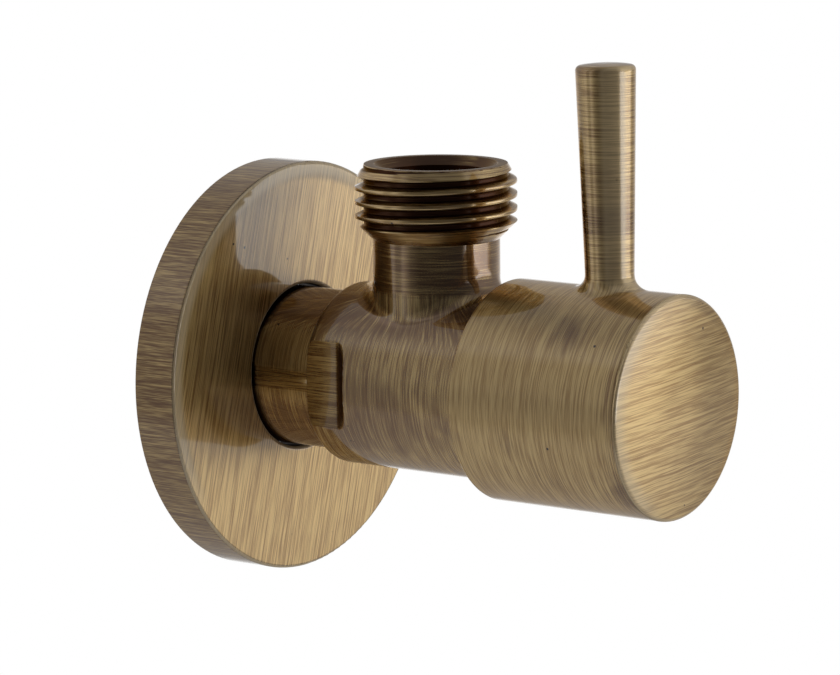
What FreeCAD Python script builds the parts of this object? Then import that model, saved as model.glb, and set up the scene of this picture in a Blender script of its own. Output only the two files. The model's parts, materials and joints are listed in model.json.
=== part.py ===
# Quarter-turn angle isolating valve with a round rosette and a lever handle.
# Millimetres. The wall is the plane y = 0 and the valve stands out from it towards -Y.
# The outlet points up (+Z). The origin is on the inlet axis, in the plane of the wall.
# Places along the inlet axis are given as "out", the distance in front of the wall.
import FreeCAD
import Part
import math
import os

Vector = FreeCAD.Vector

# Threads: G 1/2 on the inlet tail and the outlet, G 3/8 on the headwork
pipe_thread_diameter = 20.955
headwork_thread_diameter = 16.662

# Valve body, outside
tail_length = 11.0
tail_thread_front = 1.5
tail_chamfer = 1.2
tail_relief_length = 1.6
tail_relief_depth = 1.3
neck_diameter = 20.9
shoulder_out = 15.0
shoulder_height = 1.5
shoulder_round = 1.2
barrel_end_out = 42.3
barrel_end_chamfer = 0.4
spanner_flat_depth = 1.45
spanner_flat_width = 4.75
spanner_step_round = 2.2

# Outlet branch
outlet_out = 28.2
outlet_height = 28.3
outlet_bore_diameter = 13.8
outlet_bore_depth = 17.3
outlet_port_diameter = 11.0
outlet_bore_chamfer = 1.1
branch_wall = 1.33
branch_fillet = 3.0
outlet_thread_length = 7.43
thread_start_angle = 45.0
lead_angle = 30.0
lead_depth = 1.22
outlet_groove_count = 4
top_groove_drop = 1.72
thread_pitch = 1.814
thread_depth = 1.162
thread_crest_width = 0.44
thread_root_width = 0.53

# Valve body, inside
inlet_bore_diameter = 13.5
seat_web = 4.0
seat_land = 0.28
chamber_gap = 0.47
thread_relief_length = 1.2
gasket_width = 1.67

# Rosette
rosette_diameter = 54.0
rosette_depth = 6.3
rosette_wall = 0.9
rosette_edge_round = 0.45
rosette_hole_gap = 0.3
rosette_lip_depth = 4.5
rosette_lip_round = 0.6
rosette_lip_back_round = 0.3

# Ceramic discs and the seal at the seat
disc_thickness = 2.8
disc_diameter = 12.7
disc_port_inner_diameter = 4.6
disc_port_span = 84.0
disc_tab_width = 2.4
seal_height = 2.9
seal_proud = 0.8
seal_lip_width = 1.2
seal_lip_round = 0.4
support_ring_wall = 0.5
support_ring_recess = 0.4

# Spindle
spindle_diameter = 8.3
tongue_width = 3.2
tongue_length = 11.0
tongue_engagement = 1.2
window_length = 4.6
window_width = 10.0
flange_thickness = 1.2
washer_thickness = 0.7
spline_step = 0.15
spline_depth = 0.45
spline_teeth = 20
spline_chamfer = 0.4
ring_groove_depth = 1.15
ring_groove_width = 1.7
ring_groove_setback = 3.4
ring_groove_spacing = 3.5
clip_thickness = 0.8
clip_width = 2.0
clip_groove_depth = 0.65
clip_mouth_angle = 70.0

# Headwork housing
housing_wall = 0.8
housing_thread_chamfer = 0.6
collar_lap = 0.6
collar_thickness = 1.9
hexagon_size = 17.0
hexagon_length = 3.8
hexagon_chamfer = 0.9
hexagon_chamfer_length = 0.45
nose_length = 2.0

# Quarter-turn stop
turn_range = 90.0
stop_lug_span = 40.0
stop_lug_thickness = 1.1
stop_clearance_angle = 0.6
stop_ring_thickness = 2.0
stop_ring_gap = 0.3

# Handle
handle_overlap = 2.0
handle_length = 25.5
handle_wall = 1.95
handle_front_wall = 4.4
handle_front_crown = 0.35
handle_front_round = 0.6
handle_back_round = 0.3
handle_bore_gap = 0.35
handle_inner_gap = 1.2
handle_inner_round = 1.0
lever_setback = 14.9
lever_lean = 1.24
lever_root_depth = 8.7
lever_length = 28.3
lever_foot_diameter = 6.15
lever_top_diameter = 7.66
lever_top_round = 0.7
lever_crown = 0.3
lever_fillet = 2.0
bush_wall = 1.5
bush_start_gap = 0.4
bush_end_gap = 0.5
bush_corner_round = 1.0
grub_screw_diameter = 4.0
grub_screw_length = 6.6
grub_screw_setback = 3.2
grub_screw_point = 0.7
grub_screw_socket_size = 2.0
grub_screw_socket_depth = 2.0

# Clearances
thread_gap = 0.05
running_gap = 0.08
slide_gap = 0.05
disc_gap = 0.15
seal_gap = 0.02
ring_rub_gap = 0.05

# Places along the inlet axis that follow from the sizes above.
# The windows of the headwork face the middle of the outlet.
seat_out = outlet_out - window_length / 2 - 2 * disc_thickness - seal_height
housing_start_out = seat_out + seal_proud
fixed_disc_out = seat_out + seal_height
moving_disc_out = fixed_disc_out + disc_thickness
moving_disc_end = moving_disc_out + disc_thickness
flange_out = moving_disc_end + window_length
washer_out = flange_out + flange_thickness
cavity_end_out = washer_out + washer_thickness + slide_gap
thread_start_out = outlet_out + outlet_bore_diameter / 2 + thread_relief_length
first_groove_out = cavity_end_out + ring_groove_setback
second_groove_out = first_groove_out + ring_groove_spacing
collar_end_out = barrel_end_out + collar_thickness
hexagon_end_out = collar_end_out + hexagon_length
nose_end_out = hexagon_end_out + nose_length
clip_out = nose_end_out + slide_gap
stop_ring_out = clip_out + clip_thickness + stop_ring_gap
stop_ring_end = stop_ring_out + stop_ring_thickness
bush_out = stop_ring_end + bush_start_gap
handle_start_out = barrel_end_out - handle_overlap
handle_end_out = handle_start_out + handle_length
lever_out = handle_start_out + lever_setback
socket_end_out = handle_end_out - handle_front_wall
spindle_end_out = socket_end_out - bush_end_gap
screw_out = socket_end_out - grub_screw_setback

# Radii that follow from the sizes above
thread_radius = pipe_thread_diameter / 2
relief_radius = thread_radius - tail_relief_depth
neck_radius = neck_diameter / 2
barrel_radius = neck_radius + shoulder_height
inlet_bore_radius = inlet_bore_diameter / 2
outlet_bore_radius = outlet_bore_diameter / 2
outlet_port_radius = outlet_port_diameter / 2
branch_radius = outlet_bore_radius + branch_wall
disc_radius = disc_diameter / 2
moving_disc_radius = disc_radius - disc_gap
flange_radius = moving_disc_radius - disc_gap
cavity_radius = disc_radius + slide_gap
housing_radius = cavity_radius + housing_wall
seal_outer_radius = cavity_radius - seal_gap
seal_inner_radius = seal_outer_radius - seal_lip_width
support_ring_radius = seal_inner_radius - seal_gap
port_radius = support_ring_radius - support_ring_wall
seat_port_radius = seal_inner_radius - seat_land
housing_thread_radius = headwork_thread_diameter / 2
thread_bore_radius = housing_thread_radius + thread_gap
chamber_radius = housing_thread_radius + chamber_gap
gasket_seat_radius = housing_thread_radius + gasket_width
collar_radius = gasket_seat_radius + collar_lap
hexagon_radius = hexagon_size / 2 / math.cos(math.radians(30))
spindle_radius = spindle_diameter / 2
spindle_bore_radius = spindle_radius + running_gap
spline_radius = spindle_radius - spline_step
groove_radius = spindle_radius - ring_groove_depth
clip_groove_radius = spindle_radius - clip_groove_depth
clip_inner_radius = clip_groove_radius + seal_gap
clip_outer_radius = clip_inner_radius + clip_width
stop_lug_inner_radius = clip_outer_radius + disc_gap
nose_radius = stop_lug_inner_radius + stop_lug_thickness
skirt_bore_radius = barrel_radius + handle_bore_gap
handle_radius = skirt_bore_radius + handle_wall
stop_space_radius = nose_radius + handle_inner_gap
screw_hole_radius = grub_screw_diameter / 2 + thread_gap
lever_top_height = handle_radius + lever_length

# A length that reaches past the whole valve, and how near two curves count as touching
far = 60.0
touch = 0.01


def across(radius, out):
    # A point of a profile that turns about the inlet axis
    return Vector(radius, -out, 0)


def upright(radius, height):
    # A point of a profile that turns about the outlet's axis
    return Vector(radius, -outlet_out, height)


def rounded_wire(corners, place):
    # Closed outline through (a, b, corner radius), with true arcs at the rounded corners
    flat = [Vector(a, b, 0) for a, b, corner_radius in corners]
    starts = []
    mids = []
    ends = []
    for index, corner in enumerate(flat):
        corner_radius = corners[index][2]
        before = (flat[index - 1] - corner).normalize()
        after = (flat[(index + 1) % len(flat)] - corner).normalize()
        half = before.getAngle(after) / 2
        setback = corner_radius / math.tan(half)
        inward = (before + after).normalize() if corner_radius else Vector(0, 0, 0)
        starts.append(corner + before * setback)
        ends.append(corner + after * setback)
        mids.append(corner + inward * (corner_radius / math.sin(half) - corner_radius))
    edges = []
    for index in range(len(flat)):
        start, mid, end = [place(p.x, p.y) for p in (starts[index], mids[index], ends[index])]
        if corners[index][2]:
            edges.append(Part.Arc(start, mid, end).toShape())
        following = starts[(index + 1) % len(flat)]
        edges.append(Part.LineSegment(end, place(following.x, following.y)).toShape())
    return Part.Wire(edges)


def sharp(points):
    return [(a, b, 0) for a, b in points]


def turned(corners, place=across):
    # A solid of revolution about the inlet axis, or about the outlet's axis
    face = Part.Face(rounded_wire(corners, place))
    if place is across:
        return face.revolve(Vector(0, 0, 0), Vector(0, 1, 0), 360)
    return face.revolve(Vector(0, -outlet_out, 0), Vector(0, 0, 1), 360)


def rod(radius, start, end):
    return turned(sharp([(0, start), (radius, start), (radius, end), (0, end)]))


def ring(inner, outer, start, end):
    return turned(sharp([(inner, start), (outer, start), (outer, end), (inner, end)]))


def block(size_x, start, end, size_z):
    # A box centred on the inlet axis
    corner = Vector(-size_x / 2, -end, -size_z / 2)
    return Part.makeBox(size_x, end - start, size_z, corner)


def prism(points, start, end):
    # Points are (x, z); the prism runs from start to end along the inlet axis
    loop = [Vector(x, -start, z) for x, z in points]
    wire = Part.makePolygon(loop + loop[:1])
    return Part.Face(wire).extrude(Vector(0, start - end, 0))


def hexagon_points(corner_radius):
    angles = [math.radians(60 * index) for index in range(6)]
    return [(corner_radius * math.cos(a), corner_radius * math.sin(a)) for a in angles]


def sector(inner, outer, start, end, middle_angle, span):
    # A piece of a ring; angles are in degrees from +X towards +Z
    corners = sharp([(inner, start), (outer, start), (outer, end), (inner, end)])
    face = Part.Face(rounded_wire(corners, across))
    piece = face.revolve(Vector(0, 0, 0), Vector(0, -1, 0), span)
    piece.rotate(Vector(0, 0, 0), Vector(0, -1, 0), middle_angle - span / 2)
    return piece


def o_ring(inner, outer, middle_out):
    middle = (inner + outer) / 2
    section = (outer - inner) / 2 - seal_gap
    return Part.makeTorus(middle, section, Vector(0, -middle_out, 0), Vector(0, 1, 0))


def spline_outline(gap):
    # Triangular teeth; gap widens the outline for a bore that slides over the teeth
    points = []
    for index in range(2 * spline_teeth):
        angle = math.pi * index / spline_teeth
        depth = 0 if index % 2 == 0 else spline_depth
        radius = spline_radius - depth + gap
        points.append((radius * math.cos(angle), radius * math.sin(angle)))
    return points


# Valve body: one brass forging with the tail, neck, barrel and outlet branch


def body_outside():
    barrel = turned([
        (0, -tail_length, 0),
        (thread_radius - tail_chamfer, -tail_length, 0),
        (thread_radius, -tail_length + tail_chamfer, 0),
        (thread_radius, tail_thread_front, 0),
        (relief_radius, tail_thread_front, 0),
        (relief_radius, tail_thread_front + tail_relief_length, 0),
        (neck_radius, tail_thread_front + tail_relief_length, 0),
        (neck_radius, shoulder_out, 0),
        (barrel_radius, shoulder_out, shoulder_round),
        (barrel_radius, barrel_end_out - barrel_end_chamfer, 0),
        (barrel_radius - barrel_end_chamfer, barrel_end_out, 0),
        (0, barrel_end_out, 0),
    ])
    lip_radius = thread_radius - lead_depth
    thread_bottom = outlet_height - outlet_thread_length
    start_rise = (thread_radius - branch_radius) / math.tan(math.radians(thread_start_angle))
    lead_drop = lead_depth / math.tan(math.radians(lead_angle))
    branch = turned(sharp([
        (0, 0),
        (branch_radius, 0),
        (branch_radius, thread_bottom - start_rise),
        (thread_radius, thread_bottom),
        (thread_radius, outlet_height - lead_drop),
        (lip_radius, outlet_height),
        (0, outlet_height),
    ]), upright)
    joined = barrel.fuse(branch).removeSplitter()
    foot = [edge for edge in joined.Edges if is_branch_foot(edge)]
    solid = joined.makeFillet(branch_fillet, foot)
    # The outlet's thread is drawn as rings, without its slope
    for index in range(outlet_groove_count):
        solid = solid.cut(thread_groove(outlet_height - top_groove_drop - index * thread_pitch))
    return solid


def thread_groove(middle):
    half_root = thread_root_width / 2
    half_open = (thread_pitch - thread_crest_width) / 2
    root_radius = thread_radius - thread_depth
    return turned(sharp([
        (root_radius, middle - half_root),
        (thread_radius, middle - half_open),
        (far, middle - half_open),
        (far, middle + half_open),
        (thread_radius, middle + half_open),
        (root_radius, middle + half_root),
    ]), upright)


def edge_points(edge):
    # A few points spread along an edge
    first, last = edge.ParameterRange
    count = 5
    return [edge.valueAt(first + (last - first) * (index + 0.5) / count) for index in range(count)]


def is_branch_foot(edge):
    # The closed curve where the branch leaves the barrel touches both cylinders
    for point in edge_points(edge):
        from_branch = math.hypot(point.x, point.y + outlet_out)
        from_barrel = math.hypot(point.x, point.z)
        on_branch = abs(from_branch - branch_radius) < touch
        on_barrel = abs(from_barrel - barrel_radius) < touch
        if not (on_branch and on_barrel and point.z > 0):
            return False
    return True


def spanner_cut(side):
    # One flat for the spanner, open towards the neck and with a hollow round step at its front
    inner = barrel_radius - spanner_flat_depth
    flat_end = shoulder_out + spanner_flat_width
    bend = spanner_step_round * math.sin(math.radians(45))
    start = Vector(side * inner, -flat_end, 0)
    middle = Vector(side * (inner + spanner_step_round - bend), -flat_end - bend, 0)
    end = Vector(side * (inner + spanner_step_round), -flat_end - spanner_step_round, 0)
    outline = [end, Vector(side * far, end.y, 0), Vector(side * far, -shoulder_out, 0),
               Vector(side * inner, -shoulder_out, 0), start]
    edges = [Part.Arc(start, middle, end).toShape()] + Part.makePolygon(outline).Edges
    face = Part.Face(Part.Wire(edges))
    face.translate(Vector(0, 0, -barrel_radius))
    return face.extrude(Vector(0, 0, 2 * barrel_radius))


def body_inside():
    gasket_depth = gasket_seat_radius - housing_thread_radius
    cone = inlet_bore_radius - seat_port_radius
    passage = turned(sharp([
        (0, -far),
        (inlet_bore_radius, -far),
        (inlet_bore_radius, seat_out - seat_web - cone),
        (seat_port_radius, seat_out - seat_web),
        (seat_port_radius, seat_out),
        (chamber_radius, seat_out),
        (chamber_radius, thread_start_out),
        (thread_bore_radius, thread_start_out),
        (thread_bore_radius, barrel_end_out - gasket_depth),
        (gasket_seat_radius, barrel_end_out - gasket_depth),
        (gasket_seat_radius, far),
        (0, far),
    ]))
    bore_bottom = outlet_height - outlet_bore_depth
    outlet = turned(sharp([
        (0, 0),
        (outlet_port_radius, 0),
        (outlet_port_radius, bore_bottom - (outlet_bore_radius - outlet_port_radius)),
        (outlet_bore_radius, bore_bottom),
        (outlet_bore_radius, outlet_height - outlet_bore_chamfer),
        (outlet_bore_radius + outlet_bore_chamfer, outlet_height),
        (outlet_bore_radius + outlet_bore_chamfer, far),
        (0, far),
    ]), upright)
    return passage.fuse(outlet)


def body():
    solid = body_outside()
    for side in (-1, 1):
        solid = solid.cut(spanner_cut(side))
    return solid.cut(body_inside())


# Rosette: a thin spun cup whose hole has a lip turned towards the wall


def rosette():
    outer = rosette_diameter / 2
    hole = neck_radius + rosette_hole_gap
    face_back = rosette_depth - rosette_wall
    lip_back = rosette_depth - rosette_lip_depth
    return turned([
        (outer - rosette_wall, 0, 0),
        (outer, 0, 0),
        (outer, rosette_depth, rosette_edge_round),
        (hole, rosette_depth, rosette_lip_round),
        (hole, lip_back, rosette_lip_back_round),
        (hole + rosette_wall, lip_back, rosette_lip_back_round),
        (hole + rosette_wall, face_back, 0),
        (outer - rosette_wall, face_back, 0),
    ])


# Headwork: the cartridge that holds the ceramic discs and the spindle


def headwork_housing():
    outside = turned(sharp([
        (0, housing_start_out),
        (housing_radius, housing_start_out),
        (housing_radius, thread_start_out),
        (housing_thread_radius - housing_thread_chamfer, thread_start_out),
        (housing_thread_radius, thread_start_out + housing_thread_chamfer),
        (housing_thread_radius, barrel_end_out),
        (collar_radius, barrel_end_out),
        (collar_radius, collar_end_out),
        (nose_radius, collar_end_out),
        (nose_radius, nose_end_out),
        (0, nose_end_out),
    ]))
    chamfer_cone = turned(sharp([
        (0, collar_end_out),
        (hexagon_radius, collar_end_out),
        (hexagon_radius, hexagon_end_out - hexagon_chamfer_length),
        (hexagon_radius - hexagon_chamfer, hexagon_end_out),
        (0, hexagon_end_out),
    ]))
    nut = prism(hexagon_points(hexagon_radius), collar_end_out, hexagon_end_out)
    solid = outside.fuse(nut.common(chamfer_cone))
    solid = solid.cut(rod(cavity_radius, housing_start_out, cavity_end_out))
    solid = solid.cut(rod(spindle_bore_radius, cavity_end_out, nose_end_out))
    solid = solid.cut(block(window_width, moving_disc_end, flange_out, 2 * far))
    tab_slot_width = disc_tab_width + 2 * slide_gap
    solid = solid.cut(block(2 * far, housing_start_out, moving_disc_out, tab_slot_width))
    free_span = turn_range + stop_lug_span + 2 * stop_clearance_angle
    free_middle = 90 - turn_range / 2
    inner = stop_lug_inner_radius - disc_gap
    return solid.cut(sector(inner, far, hexagon_end_out, far, free_middle, free_span))


def housing_gasket():
    return o_ring(housing_thread_radius, gasket_seat_radius, barrel_end_out - gasket_width / 2)


def seat_seal():
    return turned([
        (seal_inner_radius, seat_out, seal_lip_round),
        (seal_outer_radius, seat_out, seal_lip_round),
        (seal_outer_radius, fixed_disc_out, 0),
        (seal_inner_radius, fixed_disc_out, 0),
    ])


def seal_support_ring():
    return ring(port_radius, support_ring_radius, seat_out + support_ring_recess, fixed_disc_out)


def disc_ports(start, end):
    inner = disc_port_inner_diameter / 2
    upper = sector(inner, port_radius, start, end, 90, disc_port_span)
    lower = sector(inner, port_radius, start, end, 270, disc_port_span)
    return upper.fuse(lower)


def fixed_disc():
    disc = rod(disc_radius, fixed_disc_out, moving_disc_out)
    tabs = block(2 * housing_radius, fixed_disc_out, moving_disc_out, disc_tab_width)
    tabs = tabs.common(rod(housing_radius, fixed_disc_out, moving_disc_out))
    return disc.fuse(tabs).cut(disc_ports(fixed_disc_out, moving_disc_out)).removeSplitter()


def moving_disc():
    disc = rod(moving_disc_radius, moving_disc_out, moving_disc_end)
    slot_width = tongue_width + 2 * slide_gap
    slot = block(2 * far, moving_disc_end - tongue_engagement, moving_disc_end, slot_width)
    return disc.cut(disc_ports(moving_disc_out, moving_disc_end)).cut(slot)


def spindle():
    shaft = turned(sharp([
        (0, flange_out),
        (flange_radius, flange_out),
        (flange_radius, washer_out),
        (spindle_radius, washer_out),
        (spindle_radius, stop_ring_out),
        (0, stop_ring_out),
    ]))
    tongue_start = moving_disc_end - tongue_engagement + slide_gap
    tongue = block(tongue_length, tongue_start, flange_out, tongue_width)
    tongue = tongue.common(rod(flange_radius, tongue_start, flange_out))
    teeth = prism(spline_outline(0), stop_ring_out, spindle_end_out)
    end_cone = turned(sharp([
        (0, stop_ring_out),
        (spline_radius, stop_ring_out),
        (spline_radius, spindle_end_out - spline_chamfer),
        (spline_radius - spline_chamfer, spindle_end_out),
        (0, spindle_end_out),
    ]))
    solid = shaft.fuse(tongue).fuse(teeth.common(end_cone))
    half = ring_groove_width / 2
    for middle in (first_groove_out, second_groove_out):
        solid = solid.cut(ring(groove_radius, far, middle - half, middle + half))
    clip_end = clip_out + clip_thickness + slide_gap
    return solid.cut(ring(clip_groove_radius, far, nose_end_out, clip_end))


def spindle_o_ring(middle_out):
    return o_ring(groove_radius, spindle_bore_radius - ring_rub_gap, middle_out)


def thrust_washer():
    return ring(spindle_bore_radius, flange_radius, washer_out, washer_out + washer_thickness)


def spindle_clip():
    whole = ring(clip_inner_radius, clip_outer_radius, clip_out, clip_out + clip_thickness)
    mouth = sector(0, far, clip_out, clip_out + clip_thickness, 270, clip_mouth_angle)
    return whole.cut(mouth)


def stop_ring():
    collar = rod(nose_radius, stop_ring_out, stop_ring_end)
    lug_start = hexagon_end_out + slide_gap
    lug = sector(stop_lug_inner_radius, nose_radius, lug_start, stop_ring_end, 90, stop_lug_span)
    bore = prism(spline_outline(slide_gap), stop_ring_out, stop_ring_end)
    return collar.fuse(lug).cut(bore).removeSplitter()


# Handle: a hollow round knob and its lever, cast as one piece


def crowned_end(radius, end, crown, edge_round):
    # Profile corners of a round end that bulges a little: a large arc joins a flat middle to a slight slope
    half_width = radius / 2
    slope = math.atan(crown / half_width)
    crown_round = (half_width - edge_round) / math.tan(slope / 2)
    return [(radius, end - crown, edge_round), (half_width, end, crown_round), (0, end, 0)]


def lever():
    foot = lever_foot_diameter / 2
    top = lever_top_diameter / 2
    taper = (top - foot) / lever_length
    root = foot - taper * lever_root_depth
    inside = handle_radius - lever_root_depth
    profile = [
        (0, inside, 0),
        (root, inside, 0),
    ] + crowned_end(top, lever_top_height, lever_crown, lever_top_round)
    face = Part.Face(rounded_wire(profile, lambda radius, height: Vector(radius, -lever_out, height)))
    solid = face.revolve(Vector(0, -lever_out, 0), Vector(0, 0, 1), 360)
    solid.rotate(Vector(0, -lever_out, handle_radius), Vector(1, 0, 0), -lever_lean)
    return solid


def bush_outline(gap):
    # A square with rounded corners, which keeps the bush from turning in the handle
    half = spline_radius + bush_wall + gap
    corner_round = bush_corner_round + gap
    corners = [(-half, -half), (half, -half), (half, half), (-half, half)]
    return [(x, z, corner_round) for x, z in corners]


def bush_prism(gap, start, end):
    wire = rounded_wire(bush_outline(gap), lambda x, z: Vector(x, -start, z))
    return Part.Face(wire).extrude(Vector(0, start - end, 0))


def grub_screw_rod(radius, low, high):
    return Part.makeCylinder(radius, high - low, Vector(0, -screw_out, low))


def handle():
    knob = turned([
        (0, handle_start_out, 0),
        (handle_radius, handle_start_out, handle_back_round),
    ] + crowned_end(handle_radius, handle_end_out, handle_front_crown, handle_front_round))
    solid = knob.fuse(lever())
    solid = solid.makeFillet(lever_fillet, [edge for edge in solid.Edges if is_lever_foot(edge)])
    hollow = turned([
        (0, handle_start_out, 0),
        (skirt_bore_radius, handle_start_out, 0),
        (skirt_bore_radius, nose_end_out, handle_inner_round),
        (stop_space_radius, nose_end_out, 0),
        (stop_space_radius, bush_out, 0),
        (0, bush_out, 0),
    ])
    solid = solid.cut(hollow)
    solid = solid.cut(bush_prism(slide_gap, bush_out, socket_end_out))
    return solid.cut(grub_screw_rod(screw_hole_radius, -far, 0))


def is_lever_foot(edge):
    # The curve where the lever leaves the knob lies on the knob and near the lever
    for point in edge_points(edge):
        on_knob = abs(math.hypot(point.x, point.z) - handle_radius) < touch
        near_lever = math.hypot(point.x, point.y + lever_out) < lever_foot_diameter
        if not (on_knob and near_lever and point.z > 0):
            return False
    return True


def spline_bush():
    outside = bush_prism(0, bush_out, socket_end_out - slide_gap)
    bore = prism(spline_outline(slide_gap), bush_out, spindle_end_out + slide_gap)
    return outside.cut(bore).cut(grub_screw_rod(screw_hole_radius, -far, 0))


def handle_grub_screw():
    tip = -spline_radius - slide_gap
    low = tip - grub_screw_length
    screw = grub_screw_rod(grub_screw_diameter / 2, low, tip)
    point_edge = [edge for edge in screw.Edges if edge.BoundBox.ZMin > tip - touch]
    screw = screw.makeChamfer(grub_screw_point, point_edge)
    corner_radius = grub_screw_socket_size / 2 / math.cos(math.radians(30))
    loop = [Vector(x, y - screw_out, low) for x, y in hexagon_points(corner_radius)]
    socket = Part.Face(Part.makePolygon(loop + loop[:1]))
    return screw.cut(socket.extrude(Vector(0, 0, grub_screw_socket_depth)))


pieces = {
    "body": body(),
    "rosette": rosette(),
    "headwork_housing": headwork_housing(),
    "housing_gasket": housing_gasket(),
    "seat_seal": seat_seal(),
    "seal_support_ring": seal_support_ring(),
    "fixed_disc": fixed_disc(),
    "moving_disc": moving_disc(),
    "thrust_washer": thrust_washer(),
    "spindle": spindle(),
    "spindle_o_ring_inner": spindle_o_ring(first_groove_out),
    "spindle_o_ring_outer": spindle_o_ring(second_groove_out),
    "spindle_clip": spindle_clip(),
    "stop_ring": stop_ring(),
    "handle": handle(),
    "spline_bush": spline_bush(),
    "handle_grub_screw": handle_grub_screw(),
}

os.makedirs("parts", exist_ok=True)
for name, shape in pieces.items():
    solids = shape.Solids
    print(name, "solids", len(solids), "valid", shape.isValid(), "volume", round(shape.Volume, 1))
    solids[0].exportStep("parts/" + name + ".step")
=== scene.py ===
import bpy
import bmesh
import json
import math
import numpy as np
from mathutils import Matrix, Vector

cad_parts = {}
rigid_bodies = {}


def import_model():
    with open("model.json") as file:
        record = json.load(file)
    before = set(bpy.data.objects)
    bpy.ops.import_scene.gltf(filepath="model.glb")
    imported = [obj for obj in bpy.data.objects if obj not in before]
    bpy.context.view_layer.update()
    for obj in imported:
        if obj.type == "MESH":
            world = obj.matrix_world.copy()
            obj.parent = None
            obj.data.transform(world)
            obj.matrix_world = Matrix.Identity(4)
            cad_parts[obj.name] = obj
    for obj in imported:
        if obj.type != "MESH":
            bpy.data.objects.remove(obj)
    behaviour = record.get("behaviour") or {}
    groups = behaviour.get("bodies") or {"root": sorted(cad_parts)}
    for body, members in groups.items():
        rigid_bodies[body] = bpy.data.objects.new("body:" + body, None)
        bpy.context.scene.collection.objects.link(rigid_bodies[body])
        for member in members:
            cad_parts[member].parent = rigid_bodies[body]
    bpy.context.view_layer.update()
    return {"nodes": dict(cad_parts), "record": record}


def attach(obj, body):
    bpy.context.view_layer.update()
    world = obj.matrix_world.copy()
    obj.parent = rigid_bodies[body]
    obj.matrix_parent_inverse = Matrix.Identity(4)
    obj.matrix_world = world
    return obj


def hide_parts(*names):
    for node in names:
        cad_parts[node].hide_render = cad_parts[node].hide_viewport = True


# Aged brass angle valve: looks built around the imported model
# Lengths are in mm, but those of the floor and the lamps in metres, and noise scales per metre
for leftover in list(bpy.data.objects):
    bpy.data.objects.remove(leftover)
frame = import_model()
print("frame loaded")

mm = 0.001  # metres in a millimetre
mergeDistance = 2e-7  # metres

# Mesh tools


def newSkin():
    return {"points": [], "faces": [], "recess": []}


def addRing(skin, points, recess=0.0):
    # A closed loop of points; returns their numbers
    start = len(skin["points"])
    skin["points"].extend(points)
    skin["recess"].extend([recess] * len(points) if np.isscalar(recess) else list(recess))
    return list(range(start, start + len(points)))


def bridge(skin, first, second):
    # Joins two loops; the second may have half as many points
    count = len(first)
    if len(second) == count:
        for i in range(count):
            j = (i + 1) % count
            skin["faces"].append((first[i], first[j], second[j], second[i]))
    else:
        for i in range(0, count, 2):
            a, b, c = first[i], first[i + 1], first[(i + 2) % count]
            skin["faces"].append((a, b, c, second[(i // 2 + 1) % len(second)], second[i // 2]))


def bridgeAll(skin, loops):
    for first, second in zip(loops, loops[1:]):
        bridge(skin, first, second)


def roundedLine(corners, steps=4):
    # Open profile through (a, b, round) with arcs at the rounded corners
    line = []
    for index, (a, b, size) in enumerate(corners):
        here = np.array([a, b], float)
        if not size or index in (0, len(corners) - 1):
            line.append(tuple(here))
            continue
        before = np.array(corners[index - 1][:2], float) - here
        after = np.array(corners[index + 1][:2], float) - here
        before /= np.linalg.norm(before)
        after /= np.linalg.norm(after)
        half = math.acos(float(np.clip(before @ after, -1, 1))) / 2
        middle = before + after
        middle /= np.linalg.norm(middle)
        centre = here + middle * size / math.sin(half)
        start = here + before * size / math.tan(half) - centre
        end = here + after * size / math.tan(half) - centre
        total = math.acos(float(np.clip(start @ end / size ** 2, -1, 1)))
        for step in range(steps + 1):
            t = step / steps
            mixed = (start * math.sin((1 - t) * total) + end * math.sin(t * total)) / math.sin(total)
            line.append(tuple(centre + mixed))
    return line


def softMin(a, b, softness):
    blend = np.clip(0.5 + 0.5 * (b - a) / softness, 0, 1)
    return b * (1 - blend) + a * blend - softness * blend * (1 - blend)


def addObject(name, data):
    made = bpy.data.objects.new(name, data)
    bpy.context.collection.objects.link(made)
    return made


def finishSkin(skin, name, body, material, replaced, sharpAngle=32.0):
    mesh = bpy.data.meshes.new(name)
    mesh.from_pydata([Vector(p) * mm for p in skin["points"]], [], skin["faces"])
    recess = mesh.attributes.new("recess", "FLOAT", "POINT")
    recess.data.foreach_set("value", skin["recess"])
    work = bmesh.new()
    work.from_mesh(mesh)
    bmesh.ops.remove_doubles(work, verts=work.verts, dist=mergeDistance)
    bmesh.ops.dissolve_degenerate(work, edges=work.edges, dist=mergeDistance / 2)
    bmesh.ops.recalc_face_normals(work, faces=work.faces)
    limit = math.radians(sharpAngle)
    for face in work.faces:
        face.smooth = True
    for edge in work.edges:
        edge.smooth = len(edge.link_faces) == 2 and edge.calc_face_angle() < limit
    work.to_mesh(mesh)
    openEdges = sum(1 for edge in work.edges if len(edge.link_faces) != 2)
    work.free()
    piece = addObject(name, mesh)
    mesh.materials.append(material)
    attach(piece, body)
    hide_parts(replaced)
    print(name, "faces", len(mesh.polygons), "open edges", openEdges)
    return piece


# Node tools


def feed(tree, socket, value):
    if isinstance(value, bpy.types.NodeSocket):
        tree.links.new(value, socket)
    else:
        socket.default_value = value


def feedAll(tree, node, values):
    # values by the inputs' names or numbers
    for key, value in values.items():
        feed(tree, node.inputs[key], value)


def addNode(tree, kind, values, **settings):
    made = tree.nodes.new("ShaderNode" + kind)
    for key, item in settings.items():
        setattr(made, key, item)
    feedAll(tree, made, values)
    return made


def calc(tree, operation, *values):
    return addNode(tree, "Math", dict(enumerate(values)), operation=operation).outputs[0]


def vectorCalc(tree, operation, *values):
    made = addNode(tree, "VectorMath", dict(enumerate(values)), operation=operation)
    return made.outputs["Value" if operation in ("DOT_PRODUCT", "LENGTH") else "Vector"]


def spread(tree, *values):
    # value, low, high and, if they aren't 0 and 1, the results at low and high
    return addNode(tree, "MapRange", dict(enumerate(values)), interpolation_type="SMOOTHSTEP").outputs[0]


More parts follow.
